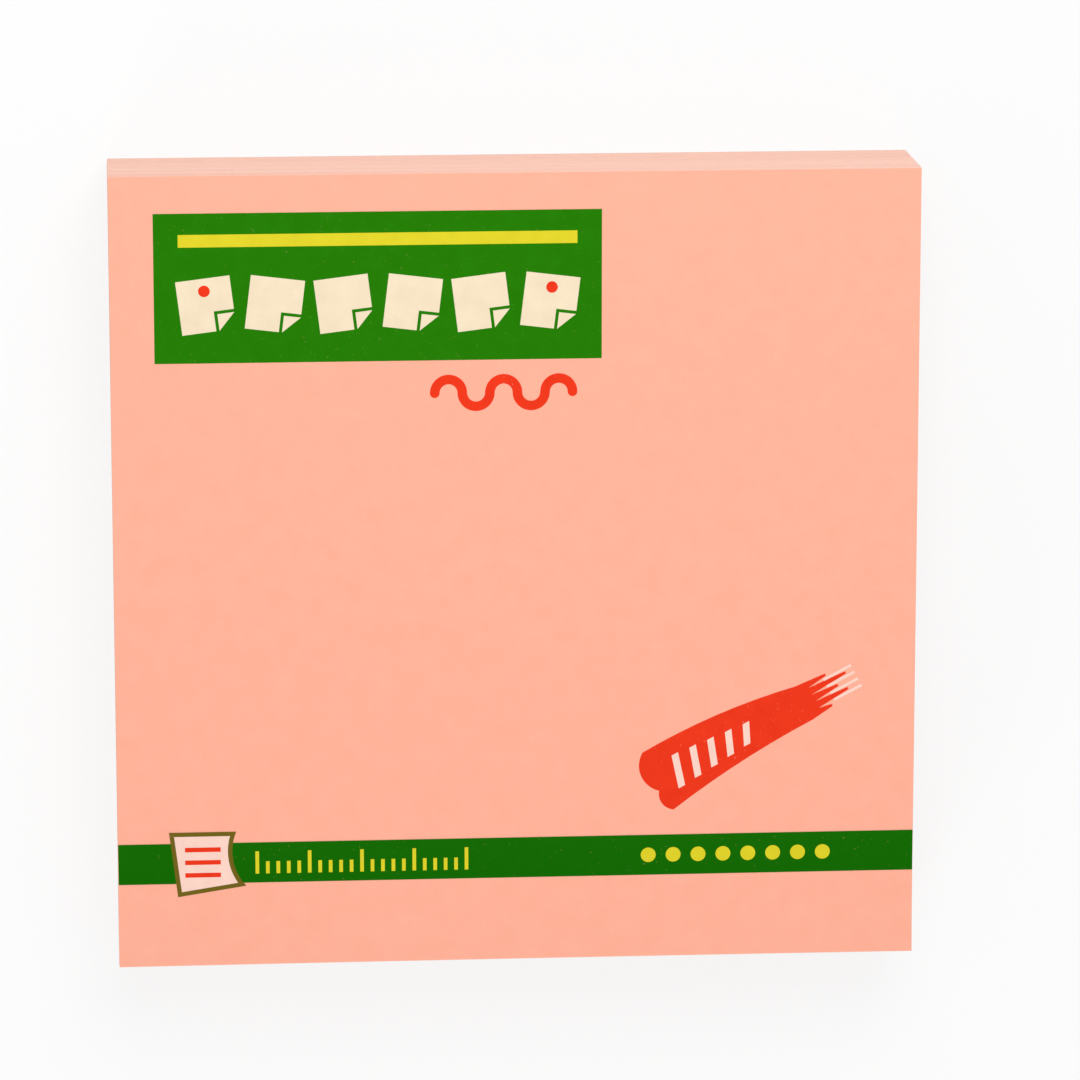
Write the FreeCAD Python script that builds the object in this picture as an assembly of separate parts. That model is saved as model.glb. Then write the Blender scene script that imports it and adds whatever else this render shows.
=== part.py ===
import FreeCAD, Part
import os

# A square sticky note pad, lying flat with its printed cover up.
# X runs across the pad, +Y points to the glued edge and +Z out of the cover.
# The origin is the middle of the underside. All sizes are in millimetres.

# Pad
pad_width = 76.2
pad_length = 76.2
sheet_count = 100
sheet_thickness = 0.108
backing_thickness = 0.25

# Band of adhesive under each sheet, near the glued edge
adhesive_thickness = 0.006
adhesive_width = 14.0
adhesive_inset = 1.0

# Ink, in plain fields that lie side by side on the cover
ink_thickness = 0.02

# Green panel near the glued edge
panel_width = 42.0
panel_height = 14.2
panel_side_margin = 4.1
panel_top_margin = 3.5
panel_content_margin = 2.3

# Yellow rule in the panel
rule_height = 1.2
rule_top_margin = 2.0

# Row of cream notes that fills the panel below the rule, each with a folded corner,
# some with a red pin
note_count = 6
note_gap = 1.35
note_tilt = 7.0
note_fold = 1.6
note_fold_line = 0.3
notes_per_pin = 5
pin_radius = 0.55
pin_top_margin = 1.2

# Red pen line under the panel, a chain of half rings
squiggle_bows = 5
squiggle_radius = 1.3
squiggle_line = 0.9
squiggle_gap = 1.4

# Green band across the pad
band_height = 3.95
band_bottom_margin = 8.05

# Pale tile with a lifted corner and an olive outline, over the band
tile_width = 6.4
tile_height = 6.35
tile_rise = 1.1
tile_side_margin = 4.85
tile_lean = 0.8
tile_hollow = 0.25
tile_flick = 0.9
tile_flick_lift = 1.0
tile_outline_width = 0.42

# Red ruled lines on the tile
line_count = 3
line_height = 0.45
line_pitch = 1.25
line_top_margin = 1.5
line_side_margin = 1.5

# Yellow scale on the band, beside the tile
tick_count = 21
tick_pitch = 1.0
tick_width = 0.35
tick_length = 1.2
long_tick_length = 2.2
ticks_per_long = 5
scale_gap = 1.8

# Yellow dots at the band's other end
dot_count = 8
dot_pitch = 2.4
dot_radius = 0.72
dots_side_margin = 8.0

# Red brush flash above the band, from its blunt start to its ragged tail
flash_angle = 28.0
flash_side_margin = 24.6
flash_band_gap = 5.3
flash_length = 15.8
flash_start_width = 6.4
flash_tail_width = 3.7
flash_bulge = 1.2
flash_lower_bulge = 0.7
flash_notch_depth = 0.35
flash_notch_drop = 0.9
flash_upper_bow = 0.5
flash_lower_bow = 0.35
bristle_lengths = (3.1, 4.9, 3.7, 4.4, 2.3)
bristle_tip = 0.22
bristle_notch = 1.0

# Pale bars across the flash, and pale streaks between its bristles
bar_count = 5
bar_width = 0.7
bar_length = 3.2
bar_shrink = 0.3
bar_pitch = 1.85
bar_lean = 0.9
bar_start = 2.2
streak_width = 0.26
streak_length = 3.0
streak_start = 2.7

# Places that follow from the sizes
sheet_pitch = sheet_thickness + adhesive_thickness
adhesive_back = pad_length / 2 - adhesive_inset
adhesive_front = adhesive_back - adhesive_width
block_bottom = backing_thickness
cover_bottom = block_bottom + sheet_count * sheet_pitch
ink_bottom = cover_bottom + sheet_pitch

panel_left = -pad_width / 2 + panel_side_margin
panel_right = panel_left + panel_width
panel_top = pad_length / 2 - panel_top_margin
panel_bottom = panel_top - panel_height
row_left = panel_left + panel_content_margin
row_right = panel_right - panel_content_margin
rule_top = panel_top - rule_top_margin
rule_bottom = rule_top - rule_height
note_side = (row_right - row_left + note_gap) / note_count - note_gap

band_bottom = -pad_length / 2 + band_bottom_margin
band_top = band_bottom + band_height
band_middle = (band_bottom + band_top) / 2

tile_left = -pad_width / 2 + tile_side_margin
tile_right = tile_left + tile_width
tile_top = band_top + tile_rise
tile_bottom = tile_top - tile_height

flash_x = pad_width / 2 - flash_side_margin
flash_y = band_top + flash_band_gap


def polygon(points):
    """Flat face with straight sides through (x, y) points."""
    corners = [FreeCAD.Vector(x, y, 0) for x, y in points]
    return Part.Face(Part.makePolygon(corners + corners[:1]))


def rectangle(left, bottom, right, top):
    return polygon([(left, bottom), (right, bottom), (right, top), (left, top)])


def disc(x, y, radius):
    circle = Part.makeCircle(radius, FreeCAD.Vector(x, y, 0))
    return Part.Face(Part.Wire([circle]))


def line(start, end):
    return Part.LineSegment(FreeCAD.Vector(*start, 0), FreeCAD.Vector(*end, 0)).toShape()


def arc(start, middle, end):
    """Circular arc through three (x, y) points."""
    points = [FreeCAD.Vector(x, y, 0) for x, y in (start, middle, end)]
    return Part.Arc(*points).toShape()


def line_chain(points):
    return [line(start, end) for start, end in zip(points, points[1:])]


def place(face, x, y, angle):
    """Turn a face about its own origin, then move it to (x, y)."""
    placed = face.copy()
    placed.rotate(FreeCAD.Vector(0, 0, 0), FreeCAD.Vector(0, 0, 1), angle)
    placed.translate(FreeCAD.Vector(x, y, 0))
    return placed


def leave_out(faces, others):
    """The faces, with the area of the others left open for another ink."""
    return [part for face in faces for part in face.cut(others).Faces]


def ink(faces):
    """One thin solid on the cover for each printed field."""
    solids = []
    for face in faces:
        field = face.extrude(FreeCAD.Vector(0, 0, ink_thickness))
        field.translate(FreeCAD.Vector(0, 0, ink_bottom))
        solids.append(field)
    return Part.makeCompound(solids)


def glued_sheets(count, bottom):
    """Sheets joined by the adhesive band under each, as one comb section drawn along X.

    Beyond the band, each sheet lies the adhesive's thickness above the next.
    """
    front = -pad_length / 2
    back = pad_length / 2
    rising = []
    falling = []
    for index in range(count):
        band_low = bottom + index * sheet_pitch
        sheet_low = band_low + adhesive_thickness
        sheet_high = band_low + sheet_pitch
        rising += [(adhesive_front, band_low), (adhesive_front, sheet_low)]
        rising += [(front, sheet_low), (front, sheet_high)]
        falling += [(adhesive_back, band_low), (adhesive_back, sheet_low)]
        falling += [(back, sheet_low), (back, sheet_high)]
    outline = rising + falling[::-1]
    corners = [FreeCAD.Vector(-pad_width / 2, y, z) for y, z in outline]
    section = Part.Face(Part.makePolygon(corners + corners[:1]))
    return section.extrude(FreeCAD.Vector(pad_width, 0, 0))


def note_block():
    return glued_sheets(sheet_count, block_bottom)


def cover_sheet():
    return glued_sheets(1, cover_bottom)


def backing_sheet():
    corner = FreeCAD.Vector(-pad_width / 2, -pad_length / 2, 0)
    return Part.makeBox(pad_width, pad_length, backing_thickness, corner)


def panel():
    return rectangle(panel_left, panel_bottom, panel_right, panel_top)


def rule():
    return rectangle(row_left, rule_bottom, row_right, rule_top)


def small_note():
    """A square note with a notch at one corner, and the flap that is folded into it."""
    half = note_side / 2
    fold = half - note_fold
    notch = fold - note_fold_line
    sheet = [(-half, -half), (notch, -half), (notch, -notch), (half, -notch), (half, half), (-half, half)]
    flap = [(fold, -half), (half, -fold), (fold, -fold)]
    return [polygon(sheet), polygon(flap)]


def note_places():
    """Middle and tilt of each note in the panel's row."""
    first = row_left + note_side / 2
    pitch = note_side + note_gap
    middle = (panel_bottom + rule_bottom) / 2
    return [(first + index * pitch, middle, note_tilt * (-1) ** index) for index in range(note_count)]


def notes():
    return [place(face, *spot) for spot in note_places() for face in small_note()]


def pins():
    pin = disc(0, note_side / 2 - pin_top_margin, pin_radius)
    return [place(pin, *spot) for spot in note_places()[::notes_per_pin]]


def round_end(x, y, side):
    """Half circle that closes the pen line, above it for side 1 and below it for side -1."""
    half = squiggle_line / 2
    return arc((x - half, y), (x, y + side * half), (x + half, y))


def squiggle():
    """Pen line whose bows turn up and down by turns, ending under the row's end."""
    outer = squiggle_radius + squiggle_line / 2
    inner = squiggle_radius - squiggle_line / 2
    middle = panel_bottom - squiggle_gap - outer
    end = row_right - squiggle_line / 2
    start = end - 2 * squiggle_radius * squiggle_bows
    edges = []
    for bow in range(squiggle_bows):
        centre = start + (2 * bow + 1) * squiggle_radius
        side = (-1) ** bow
        for radius in (outer, inner):
            peak = (centre, middle + side * radius)
            edges.append(arc((centre - radius, middle), peak, (centre + radius, middle)))
    last_side = (-1) ** (squiggle_bows - 1)
    edges.append(round_end(start, middle, -1))
    edges.append(round_end(end, middle, -last_side))
    return Part.Face(Part.Wire(Part.sortEdges(edges)[0]))


def band():
    return rectangle(-pad_width / 2, band_bottom, pad_width / 2, band_top)


def tile():
    """Tile outline whose left side leans in and whose lower right corner is flicked out."""
    top_left = (tile_left, tile_top)
    top_right = (tile_right, tile_top)
    hollow = (tile_right - tile_hollow, (tile_top + tile_bottom) / 2)
    tip = (tile_right + tile_flick, tile_bottom + tile_flick_lift)
    bottom_left = (tile_left + tile_lean, tile_bottom)
    sides = [line(top_left, top_right), arc(top_right, hollow, tip), line(tip, bottom_left)]
    sides.append(line(bottom_left, top_left))
    return Part.Face(Part.Wire(sides))


def tile_fill():
    return tile().makeOffset2D(-tile_outline_width)


def tile_lines():
    left = tile_left + line_side_margin
    right = tile_right - line_side_margin
    tops = [tile_top - line_top_margin - index * line_pitch for index in range(line_count)]
    return [rectangle(left, top - line_height, right, top) for top in tops]


def ticks():
    """Scale whose ticks stand on one line, with a long one every few."""
    faces = []
    base = band_middle - long_tick_length / 2
    for index in range(tick_count):
        left = tile_right + scale_gap + index * tick_pitch
        length = tick_length if index % ticks_per_long else long_tick_length
        faces.append(rectangle(left, base, left + tick_width, base + length))
    return faces


def dots():
    last = pad_width / 2 - dots_side_margin - dot_radius
    return [disc(last - index * dot_pitch, band_middle, dot_radius) for index in range(dot_count)]


def place_on_flash(face):
    return place(face, flash_x, flash_y, flash_angle)


def bristle_width():
    return flash_tail_width / len(bristle_lengths)


def flash():
    """Brush stroke drawn along X from its start, then turned to its slant."""
    start_half = flash_start_width / 2
    tail_half = flash_tail_width / 2
    middle_half = (start_half + tail_half) / 2
    start_upper = (0, start_half)
    start_lower = (0, -start_half)
    tail_upper = (flash_length, tail_half)
    tail_lower = (flash_length, -tail_half)
    tail = [tail_upper]
    for index, length in enumerate(bristle_lengths):
        middle = tail_half - (index + 0.5) * bristle_width()
        tail.append((flash_length + length, middle + bristle_tip / 2))
        tail.append((flash_length + length, middle - bristle_tip / 2))
        tail.append((flash_length + bristle_notch, middle - bristle_width() / 2))
    tail[-1] = tail_lower
    upper = arc(start_upper, (flash_length / 2, middle_half + flash_upper_bow), tail_upper)
    lower = arc(tail_lower, (flash_length / 2, -middle_half + flash_lower_bow), start_lower)
    notch = (-flash_notch_depth, -flash_notch_drop)
    lower_lobe = (-flash_lower_bulge, -(start_half + flash_notch_drop) / 2)
    upper_lobe = (-flash_bulge, (start_half - flash_notch_drop) / 2)
    start = [arc(start_lower, lower_lobe, notch), arc(notch, upper_lobe, start_upper)]
    return place_on_flash(Part.Face(Part.Wire([upper] + line_chain(tail) + [lower] + start)))


def bars():
    """Leaning bars across the flash, each shorter than the one before."""
    faces = []
    for index in range(bar_count):
        middle = bar_start + index * bar_pitch
        half = (bar_length - index * bar_shrink) / 2
        lower = middle - bar_lean / 2
        upper = middle + bar_lean / 2
        corners = [(lower - bar_width / 2, -half), (lower + bar_width / 2, -half)]
        corners += [(upper + bar_width / 2, half), (upper - bar_width / 2, half)]
        faces.append(place_on_flash(polygon(corners)))
    return faces


def streaks():
    faces = []
    left = flash_length + streak_start
    for index in range(1, len(bristle_lengths)):
        middle = flash_tail_width / 2 - index * bristle_width()
        low = middle - streak_width / 2
        streak = rectangle(left, low, left + streak_length, low + streak_width)
        faces.append(place_on_flash(streak))
    return faces


def print_green():
    panel_fields = leave_out([panel()], [rule()] + notes())
    return ink(panel_fields + leave_out([band()], [tile()] + ticks() + dots()))


def print_yellow():
    return ink([rule()] + ticks() + dots())


def print_cream():
    return ink(leave_out(notes(), pins()))


def print_olive():
    return ink(leave_out([tile()], [tile_fill()]))


def print_pink():
    return ink(bars() + streaks() + leave_out([tile_fill()], tile_lines()))


def print_red():
    flash_fields = leave_out([flash()], bars() + streaks())
    return ink(flash_fields + [squiggle()] + pins() + tile_lines())


nodes = {
    "backing_sheet": backing_sheet,
    "note_block": note_block,
    "cover_sheet": cover_sheet,
    "print_green": print_green,
    "print_yellow": print_yellow,
    "print_cream": print_cream,
    "print_olive": print_olive,
    "print_pink": print_pink,
    "print_red": print_red,
}

os.makedirs("parts", exist_ok=True)
for name, make in nodes.items():
    shape = make()
    shape.exportStep("parts/" + name + ".step")
    print(name, "solids", len(shape.Solids), "valid", shape.isValid(), "volume", round(shape.Volume, 4))
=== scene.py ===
import math
import random

import bmesh
import bpy
from mathutils import Matrix, Vector


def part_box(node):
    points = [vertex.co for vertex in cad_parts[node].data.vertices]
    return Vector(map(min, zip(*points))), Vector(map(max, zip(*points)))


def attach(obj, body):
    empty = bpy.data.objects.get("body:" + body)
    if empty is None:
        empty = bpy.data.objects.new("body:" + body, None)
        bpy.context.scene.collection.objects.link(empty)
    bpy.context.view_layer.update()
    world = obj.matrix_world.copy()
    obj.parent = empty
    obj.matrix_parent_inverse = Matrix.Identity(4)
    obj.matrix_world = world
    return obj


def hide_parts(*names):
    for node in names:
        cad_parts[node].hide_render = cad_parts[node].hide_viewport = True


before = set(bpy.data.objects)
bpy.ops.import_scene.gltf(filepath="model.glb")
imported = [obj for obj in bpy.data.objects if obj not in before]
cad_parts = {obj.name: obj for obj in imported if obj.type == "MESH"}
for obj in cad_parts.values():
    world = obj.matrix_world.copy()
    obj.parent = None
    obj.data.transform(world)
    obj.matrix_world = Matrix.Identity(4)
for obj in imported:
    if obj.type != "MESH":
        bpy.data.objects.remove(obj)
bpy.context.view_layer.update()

MM = 0.001

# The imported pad, from the frame
block_low, block_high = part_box("note_block")
cover_low, cover_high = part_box("cover_sheet")
half_width = block_high[0]
half_length = block_high[1]
sheet_pitch = cover_high[2] - cover_low[2]
sheet_count = round((block_high[2] - block_low[2]) / sheet_pitch)

# Adhesive under each sheet, as in the CAD model
adhesive_thickness = 0.006 * MM
adhesive_width = 14.0 * MM
adhesive_inset = 1.0 * MM

# Sheet edges: a cut edge swells a little between its two faces, and no two sheets lie quite flush.
# Sheets are shifted and turned by small amounts, the turn in degrees, and a few stray further.
edge_swell = 0.02 * MM
shift_spread = 0.016 * MM
turn_spread = 0.02
stray_share = 0.08
stray_shift = 0.08 * MM

# The free edge has opened a little, most at its corners, by steps that differ from sheet to sheet
free_zone = 6.5 * MM
free_lift = 0.26 * MM
cover_lift = free_lift * 1.15
free_middle_share = 0.35
least_step = 0.2
most_step = 1.8

# Columns and rows of a sheet's grid, with rows of its own for the part that opens
free_rows = 5
note_columns = 10
note_rows = 6
cover_columns = 40
cover_rows = 36

# Camera, fitted to the edges of the cover, of the print and of the far side in the photo.
# The lens and the sensor are in millimetres of film, the angles in degrees.
camera_lens = 200.0
sensor_width = 36.0
camera_azimuth = -4.27
camera_elevation = 12.22
camera_distance = 568.0 * MM
camera_target = (2.18 * MM, 2.97 * MM)
camera_nearest = 10.0 * MM
camera_farthest = 20000.0 * MM

# Soft boxes: the place and side of each, and its power in watts
key_place = (30.0 * MM, 250.0 * MM, 300.0 * MM)
key_side = 260.0 * MM
key_power = 0.95
front_place = (-300.0 * MM, -580.0 * MM, 125.0 * MM)
front_side = 250.0 * MM
front_power = 2.3

# Strength of the world as a light, and of plain white where a ray sees it directly
world_strength = 0.53
plain_white = 1.0

# The floor lies a little under the pad, so that the two faces never coincide
floor_radius = 4000.0 * MM
floor_segments = 96
floor_gap = 0.02 * MM
floor_albedo = 0.86
floor_roughness = 0.9

# Share of plain white in the floor as the camera sees it, which keeps the pad's shadow faint.
# It grows to 1 between two distances from the pad's middle, so the floor ends in the white around it.
floor_whiteness = 0.8
whiteness_near = 50.0 * MM
whiteness_far = 200.0 * MM

# Colours, as sRGB values from 0 to 255
paper_colour = (255, 179, 154)
paper_deep = (254, 175, 149)
edge_colour = (233, 196, 181)
edge_deep = (229, 187, 171)
backing_colour = (234, 229, 222)
backing_deep = (227, 221, 213)
adhesive_colour = (243, 218, 201)
green_colour = (33, 118, 0)
green_deep = (12, 98, 0)
yellow_colour = (217, 204, 41)
cream_colour = (236, 218, 188)
olive_colour = (110, 94, 26)
pale_pink_colour = (246, 208, 194)
red_colour = (232, 54, 26)

# Noise in the materials, as features per metre
wave_scale = 45
grain_scale = 2600
cloud_scale = 420
fibre_scale = 6500
paper_sheen_scale = 900
layer_scale = 9000
group_scale = 700
along_layer_scale = 5
along_group_scale = 4
edge_sheen_scale = 1400
nap_scale = 5200
mottle_scale = 520
pinhole_scale = 4200
ink_sheen_scale = 1100
haze_scale = 900
adhesive_sheen_scale = 1800

# Ranges of noise: most of it, a wider and a narrower middle, and its peaks alone
noise_range = (0.3, 0.7)
layer_range = (0.2, 0.8)
mottle_range = (0.32, 0.68)
fibre_peaks = (0.62, 0.8)
pinhole_peaks = (0.7, 0.8)

# Fibres, grain and nap: how much sparser they are along one axis, and their turns in degrees
fibre_sparseness = 0.16
fibre_turn = 31
cross_fibre_turn = -17
grain_sparseness = 0.45
grain_turn = 12
nap_sparseness = 0.6

# How far each detail may show
light_fibre_share = 0.3
deep_fibre_share = 0.5
group_share = 0.1
pinhole_share = 0.5
green_pinhole_share = 0.18

# Where ink lies thin it is lighter: linear channels times a gain, plus a little of each
thin_ink_gain = 1.08
thin_ink_lift = (0.001, 0.002, 0.001)

# An ink with a second colour takes it on along Y, from halfway to the glued edge to the free edge
second_ink_from = half_length / 2
second_ink_to = -half_length

# Relief of the surfaces
wave_height = 0.05 * MM
wave_strength = 0.5
grain_height = 0.012 * MM
ink_grain_strength = 0.6
nap_height = 0.01 * MM
haze_height = 0.003 * MM

# Roughness ranges and specular levels
paper_roughness = (0.74, 0.9)
edge_roughness = (0.8, 0.95)
ink_roughness = (0.42, 0.62)
adhesive_roughness = (0.3, 0.5)
paper_specular = 0.12
backing_specular = 0.3
edge_specular = 0.1
ink_specular = 0.03
adhesive_specular = 0.5


def linear(colour):
    """An sRGB colour from 0 to 255 as the linear values that a shader takes, with full alpha."""
    channels = []
    for value in colour:
        share = value / 255
        channels.append(share / 12.92 if share <= 0.04045 else ((share + 0.055) / 1.055) ** 2.4)
    return (*channels, 1.0)


class Surface:
    """A material in the making, whose coordinates are metres in the pad's own frame."""

    def __init__(self, name):
        self.material = bpy.data.materials.new(name)
        self.material.use_nodes = True
        self.nodes = self.material.node_tree.nodes
        self.links = self.material.node_tree.links
        self.shader = self.nodes["Principled BSDF"]
        self.coordinates = self.nodes.new("ShaderNodeTexCoord").outputs["Object"]

    def noise(self, scale, detail=2.0, roughness=0.5, density=(1, 1, 1), turn=0.0):
        """Noise with about scale features a metre, times a density along each axis, turned about Z."""
        mapping = self.nodes.new("ShaderNodeMapping")
        mapping.vector_type = "TEXTURE"
        mapping.inputs["Scale"].default_value = [1 / share for share in density]
        mapping.inputs["Rotation"].default_value = (0, 0, math.radians(turn))
        texture = self.nodes.new("ShaderNodeTexNoise")
        texture.inputs["Scale"].default_value = scale
        texture.inputs["Detail"].default_value = detail
        texture.inputs["Roughness"].default_value = roughness
        self.links.new(self.coordinates, mapping.inputs["Vector"])
        self.links.new(mapping.outputs["Vector"], texture.inputs["Vector"])
        return texture.outputs["Fac"]

    def spread(self, value, source, target=(0.0, 1.0)):
        """Stretches a value from one range over another, and keeps it inside."""
        node = self.nodes.new("ShaderNodeMapRange")
        for name, limit in zip(("From Min", "From Max", "To Min", "To Max"), (*source, *target)):
            node.inputs[name].default_value = limit
        self.links.new(value, node.inputs["Value"])
        return node.outputs["Result"]

    def mix(self, factor, first, second):
        """Mixes two colours, each a linear colour or another node's output."""
        node = self.nodes.new("ShaderNodeMix")
        node.data_type = "RGBA"
        self.links.new(factor, node.inputs["Factor"])
        for name, colour in (("A", first), ("B", second)):
            socket = [s for s in node.inputs if s.name == name and s.type == "RGBA"][0]
            if isinstance(colour, tuple):
                socket.default_value = colour
            else:
                self.links.new(colour, socket)
        return [s for s in node.outputs if s.type == "RGBA"][0]

    def bump(self, height, distance, strength=1.0, under=None):
        """The normal over a relief of some height, on top of another normal if one is given."""
        node = self.nodes.new("ShaderNodeBump")
        node.inputs["Distance"].default_value = distance
        node.inputs["Strength"].default_value = strength
        self.links.new(height, node.inputs["Height"])
        if under is not None:
            self.links.new(under, node.inputs["Normal"])
        return node.outputs["Normal"]

    def finish(self, colour, roughness, normal, specular):
        """Joins the parts to the shader and gives the finished material."""
        self.links.new(colour, self.shader.inputs["Base Color"])
        self.links.new(roughness, self.shader.inputs["Roughness"])
        self.links.new(normal, self.shader.inputs["Normal"])
        self.shader.inputs["Specular IOR Level"].default_value = specular
        return self.material


def paper_relief(surface, strength=1.0):
    """Slow waves of the sheet under the fibre grain of its surface."""
    waves = surface.bump(surface.noise(wave_scale, detail=1.0), wave_height, wave_strength)
    density = (1, grain_sparseness, 1)
    grain = surface.noise(grain_scale, detail=4.0, roughness=0.7, density=density, turn=grain_turn)
    return surface.bump(grain, grain_height, strength, under=waves)


def paper_fibres(surface, density, turn, share):
    """Where long thin fibres lie, up to a share of their own colour."""
    fibres = surface.noise(fibre_scale, detail=3.0, density=density, turn=turn)
    return surface.spread(fibres, fibre_peaks, (0.0, share))


def paper_material(name, colour, deep, specular=paper_specular):
    """Uncoated paper or card: cloudy formation, fine lighter and deeper fibres and a soft grain."""
    surface = Surface(name)
    clouds = surface.spread(surface.noise(cloud_scale, detail=5.0, roughness=0.6), noise_range)
    base = surface.mix(clouds, linear(colour), linear(deep))
    light = paper_fibres(surface, (1, fibre_sparseness, 1), fibre_turn, light_fibre_share)
    dark = paper_fibres(surface, (fibre_sparseness, 1, 1), cross_fibre_turn, deep_fibre_share)
    tone = surface.mix(dark, surface.mix(light, base, linear(edge_colour)), linear(deep))
    sheen = surface.noise(paper_sheen_scale, detail=3.0)
    roughness = surface.spread(sheen, noise_range, paper_roughness)
    return surface.finish(tone, roughness, paper_relief(surface), specular)


def edge_material(name):
    """Cut edges of the stacked sheets: each a little lighter or deeper than the next."""
    surface = Surface(name)
    layer_density = (along_layer_scale, along_layer_scale, layer_scale)
    layers = surface.spread(surface.noise(1, detail=0.0, density=layer_density), layer_range)
    group_density = (along_group_scale, along_group_scale, group_scale)
    groups = surface.noise(1, detail=1.0, density=group_density)
    base = surface.mix(layers, linear(edge_colour), linear(edge_deep))
    tone = surface.mix(surface.spread(groups, noise_range, (0.0, group_share)), base, linear(paper_colour))
    roughness = surface.spread(surface.noise(edge_sheen_scale), noise_range, edge_roughness)
    nap = surface.noise(nap_scale, detail=3.0, density=(1, 1, nap_sparseness))
    return surface.finish(tone, roughness, surface.bump(nap, nap_height), edge_specular)


def thinner(colour):
    """The linear colour of an ink where it lies thin."""
    channels = zip(linear(colour), thin_ink_lift)
    return (*(min(1.0, value * thin_ink_gain + lift) for value, lift in channels), 1.0)


def ink_material(name, colour, show_paper=pinhole_share, second_colour=None):
    """Ink on paper: slightly uneven, a little smoother than the paper, with pinholes in its cover."""
    surface = Surface(name)
    mottle = surface.spread(surface.noise(mottle_scale, detail=5.0, roughness=0.65), mottle_range)
    base = surface.mix(mottle, linear(colour), thinner(colour))
    if second_colour:
        place = surface.nodes.new("ShaderNodeSeparateXYZ")
        surface.links.new(surface.coordinates, place.inputs[0])
        second = surface.spread(place.outputs["Y"], (second_ink_from, second_ink_to))
        base = surface.mix(second, base, linear(second_colour))
    pinholes = surface.spread(surface.noise(pinhole_scale), pinhole_peaks, (0.0, show_paper))
    tone = surface.mix(pinholes, base, linear(paper_colour))
    sheen = surface.noise(ink_sheen_scale, detail=3.0)
    roughness = surface.spread(sheen, noise_range, ink_roughness)
    return surface.finish(tone, roughness, paper_relief(surface, ink_grain_strength), ink_specular)


def adhesive_material():
    """Dry adhesive: a pale haze, smoother than the paper."""
    surface = Surface("dry_adhesive")
    haze = surface.noise(haze_scale, detail=3.0)
    tone = surface.mix(haze, linear(adhesive_colour), linear(edge_deep))
    roughness = surface.spread(surface.noise(adhesive_sheen_scale), noise_range, adhesive_roughness)
    return surface.finish(tone, roughness, surface.bump(haze, haze_height), adhesive_specular)


def new_object(name, mesh_builder, material):
    """An object from a bmesh, with its normals outwards and one material."""
    mesh = bpy.data.meshes.new(name)
    bmesh.ops.recalc_face_normals(mesh_builder, faces=mesh_builder.faces)
    mesh_builder.to_mesh(mesh)
    mesh_builder.free()
    mesh.materials.append(material)
    piece = bpy.data.objects.new(name, mesh)
    bpy.context.scene.collection.objects.link(piece)
    return piece


def opening(x, y):
    """How far the free edge has opened at a point, from 0 in the flat part to 1 at a free corner."""
    reach = max(0.0, (free_zone - half_length - y) / free_zone)
    across = free_middle_share + (1 - free_middle_share) * (x / half_width) ** 2
    return across * reach ** 2


def row_places(plain_rows):
    """Y of each row of a sheet's grid, closer together where the free edge opens."""
    free = [-half_length + free_zone * step / free_rows for step in range(free_rows)]
    start = free_zone - half_length
    plain = [start + (half_length - start) * step / plain_rows for step in range(plain_rows + 1)]
    return free + plain


def border_places(last_row, last_column):
    """Row and column of each outer vertex of a grid, in order round it."""
    border = [(0, column) for column in range(last_column)]
    border += [(row, last_column) for row in range(last_row)]
    border += [(last_row, column) for column in range(last_column, 0, -1)]
    border += [(row, 0) for row in range(last_row, 0, -1)]
    return border


def add_sheet(builder, low, high, lift, columns, plain_rows, shift=(0.0, 0.0), turn=0.0):
    """A closed thin sheet between two heights, lifted at its free edge, with a swollen cut edge."""
    ys = row_places(plain_rows)
    xs = [half_width * (2 * step / columns - 1) for step in range(columns + 1)]
    place = Matrix.Translation((*shift, 0)) @ Matrix.Rotation(turn, 4, "Z")

    def vertex(x, y, z):
        raised = z + lift * opening(x, y)
        return builder.verts.new(place @ Vector((x, y, raised)))

    top = [[vertex(x, y, high) for x in xs] for y in ys]
    bottom = [[vertex(x, y, low) for x in xs] for y in ys]
    last_row = len(ys) - 1
    for row in range(last_row):
        for column in range(columns):
            for grid in (top, bottom):
                near, far = grid[row], grid[row + 1]
                builder.faces.new((near[column], near[column + 1], far[column + 1], far[column]))

    border = border_places(last_row, columns)
    middle = (low + high) / 2
    swollen = []
    for row, column in border:
        x = xs[column] * (1 + edge_swell / half_width)
        y = ys[row] * (1 + edge_swell / half_length)
        swollen.append(vertex(x, y, middle))
    for index, (row, column) in enumerate(border):
        after = (index + 1) % len(border)
        next_row, next_column = border[after]
        for grid in (top, bottom):
            corners = (grid[row][column], grid[next_row][next_column], swollen[after], swollen[index])
            builder.faces.new(corners)


def add_band(builder, low, high):
    """A closed strip of adhesive, near the glued edge."""
    back = half_length - adhesive_inset
    front = back - adhesive_width
    outline = [(-half_width, front), (half_width, front), (half_width, back), (-half_width, back)]
    lower = [builder.verts.new((x, y, low)) for x, y in outline]
    upper = [builder.verts.new((x, y, high)) for x, y in outline]
    builder.faces.new(lower[::-1])
    builder.faces.new(upper)
    for side in range(4):
        after = (side + 1) % 4
        builder.faces.new((lower[side], lower[after], upper[after], upper[side]))


def sheet_levels():
    """Share of the free edge's lift that each sheet has reached, growing towards the top."""
    steps = []
    for index in range(sheet_count):
        steps.append((index + 1) * random.uniform(least_step, most_step) ** 2)
    levels = []
    reached = 0.0
    for step in steps:
        reached += step
        levels.append(reached / sum(steps))
    return levels


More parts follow.
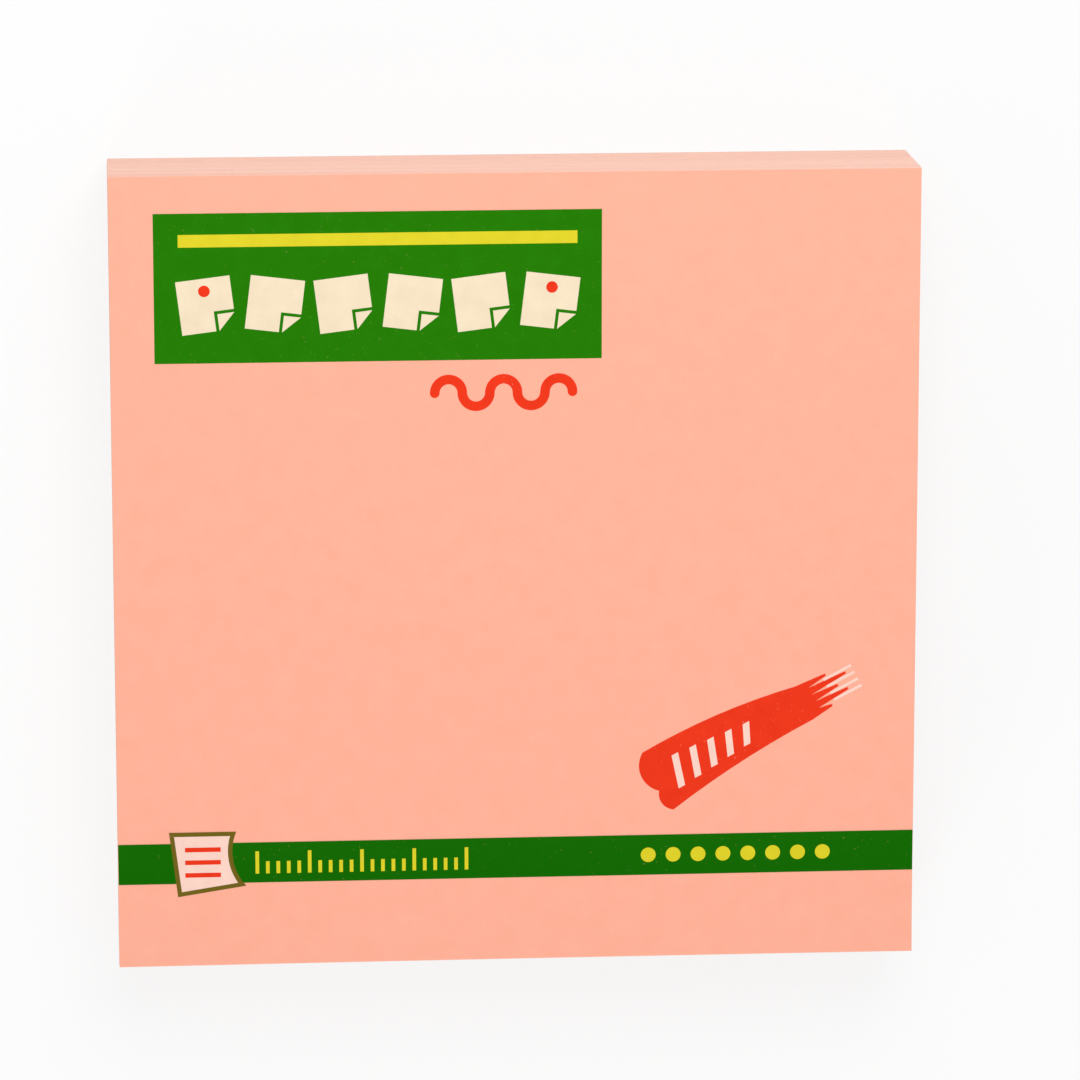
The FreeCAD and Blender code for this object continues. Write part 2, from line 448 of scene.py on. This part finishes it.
def make_note_sheets():
    """The block's sheets, each a mesh of its own within one piece, and the adhesive between them."""
    sheets = bmesh.new()
    bands = bmesh.new()
    for index, level in enumerate(sheet_levels()):
        low = block_low[2] + index * sheet_pitch
        stray = stray_shift if random.random() < stray_share else 0.0
        shift = (random.gauss(0, shift_spread), random.gauss(0, shift_spread) - stray * random.random())
        turn = math.radians(random.gauss(0, turn_spread))
        bottom = low + adhesive_thickness
        top = low + sheet_pitch
        add_sheet(sheets, bottom, top, free_lift * level, note_columns, note_rows, shift, turn)
        add_band(bands, low, bottom)
    note_sheets = new_object("note_sheets", sheets, edge_material("cut_note_paper"))
    adhesive = new_object("adhesive_bands", bands, adhesive_material())
    for piece in (note_sheets, adhesive):
        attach(piece, "root")
        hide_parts("note_block")


def make_cover():
    """The cover sheet and its own adhesive, opened a little more than the sheet under it."""
    builder = bmesh.new()
    low = cover_low[2] + adhesive_thickness
    add_sheet(builder, low, cover_high[2], cover_lift, cover_columns, cover_rows)
    add_band(builder, cover_low[2], low)
    cover = new_object("printed_cover", builder, paper_material("cover_paper", paper_colour, paper_deep))
    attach(cover, "root")
    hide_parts("cover_sheet")


def dress_carried_nodes():
    """Gives the nodes that are shown as they are their own materials."""
    finishes = {
        "backing_sheet": paper_material("backing_card", backing_colour, backing_deep, backing_specular),
        "print_green": ink_material("green_ink", green_colour, green_pinhole_share, green_deep),
        "print_yellow": ink_material("yellow_ink", yellow_colour),
        "print_cream": ink_material("cream_ink", cream_colour),
        "print_olive": ink_material("olive_ink", olive_colour),
        "print_pink": ink_material("pink_ink", pale_pink_colour),
        "print_red": ink_material("red_ink", red_colour),
    }
    for name, material in finishes.items():
        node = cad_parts[name]
        for slot in node.material_slots:
            slot.material = material


def seen_directly(nodes, links):
    """1 where a ray comes from the camera or by way of a glossy or clear surface, otherwise 0."""
    light_path = nodes.new("ShaderNodeLightPath")
    value = light_path.outputs["Is Camera Ray"]
    for name in ("Is Glossy Ray", "Is Transmission Ray"):
        either = nodes.new("ShaderNodeMath")
        either.operation = "MAXIMUM"
        links.new(value, either.inputs[0])
        links.new(light_path.outputs[name], either.inputs[1])
        value = either.outputs[0]
    return value


def floor_material():
    """A pale floor that takes the pad's shadow, mixed with plain white where it is seen directly."""
    surface = Surface("pale_floor")
    surface.shader.inputs["Base Color"].default_value = (floor_albedo, floor_albedo, floor_albedo, 1.0)
    surface.shader.inputs["Roughness"].default_value = floor_roughness
    surface.shader.inputs["Specular IOR Level"].default_value = 0.0
    white = surface.nodes.new("ShaderNodeEmission")
    white.inputs["Strength"].default_value = plain_white

    distance = surface.nodes.new("ShaderNodeVectorMath")
    distance.operation = "LENGTH"
    surface.links.new(surface.coordinates, distance.inputs[0])
    reach = (whiteness_near, whiteness_far)
    whiteness = surface.spread(distance.outputs["Value"], reach, (floor_whiteness, 1.0))
    share = surface.nodes.new("ShaderNodeMath")
    share.operation = "MULTIPLY"
    surface.links.new(seen_directly(surface.nodes, surface.links), share.inputs[0])
    surface.links.new(whiteness, share.inputs[1])

    blend = surface.nodes.new("ShaderNodeMixShader")
    surface.links.new(share.outputs[0], blend.inputs["Fac"])
    surface.links.new(surface.shader.outputs[0], blend.inputs[1])
    surface.links.new(white.outputs[0], blend.inputs[2])
    surface.links.new(blend.outputs[0], surface.nodes["Material Output"].inputs["Surface"])
    return surface.material


def make_floor():
    """A large round floor under the pad."""
    builder = bmesh.new()
    bmesh.ops.create_circle(builder, cap_ends=True, segments=floor_segments, radius=floor_radius)
    floor = new_object("floor", builder, floor_material())
    floor.location.z = -floor_gap


def make_world():
    """A soft white world that lights the pad at one strength and is seen as plain white."""
    world = bpy.data.worlds.new("studio")
    bpy.context.scene.world = world
    world.use_nodes = True
    nodes = world.node_tree.nodes
    links = world.node_tree.links
    background = nodes["Background"]
    background.inputs["Color"].default_value = (1.0, 1.0, 1.0, 1.0)
    strength = nodes.new("ShaderNodeMapRange")
    strength.inputs["To Min"].default_value = world_strength
    strength.inputs["To Max"].default_value = plain_white
    links.new(seen_directly(nodes, links), strength.inputs["Value"])
    links.new(strength.outputs["Result"], background.inputs["Strength"])


def add_soft_light(name, place, side, power):
    """A square soft box that points at the pad and isn't in the picture itself."""
    light = bpy.data.lights.new(name, "AREA")
    light.shape = "SQUARE"
    light.size = side
    light.energy = power
    lamp = bpy.data.objects.new(name, light)
    lamp.location = place
    lamp.rotation_euler = (-Vector(place)).to_track_quat("-Z", "Y").to_euler()
    lamp.visible_camera = False
    bpy.context.scene.collection.objects.link(lamp)


def make_lights():
    """A key light above and beyond the glued edge, and a low one beyond the free edge, to the left."""
    add_soft_light("key_soft_box", key_place, key_side, key_power)
    add_soft_light("front_soft_box", front_place, front_side, front_power)


def make_camera():
    """The photo's own view, from above the cover, a little towards the glued edge and the left."""
    azimuth = math.radians(camera_azimuth)
    elevation = math.radians(camera_elevation)
    away = Vector((
        math.sin(azimuth) * math.cos(elevation),
        math.sin(elevation),
        math.cos(azimuth) * math.cos(elevation),
    ))
    right = Vector((0, 1, 0)).cross(away).normalized()
    up = away.cross(right)
    target = Vector((*camera_target, cover_high[2]))
    data = bpy.data.cameras.new("photo_camera")
    data.lens = camera_lens
    data.sensor_width = sensor_width
    data.sensor_fit = "HORIZONTAL"
    data.clip_start = camera_nearest
    data.clip_end = camera_farthest
    camera = bpy.data.objects.new("photo_camera", data)
    turn = Matrix((right, up, away)).transposed().to_4x4()
    camera.matrix_world = Matrix.Translation(target + away * camera_distance) @ turn
    bpy.context.scene.collection.objects.link(camera)
    bpy.context.scene.camera = camera


random.seed(7)
make_note_sheets()
make_cover()
dress_carried_nodes()
make_floor()
make_world()
make_lights()
make_camera()
bpy.context.scene.view_settings.view_transform = "Standard"
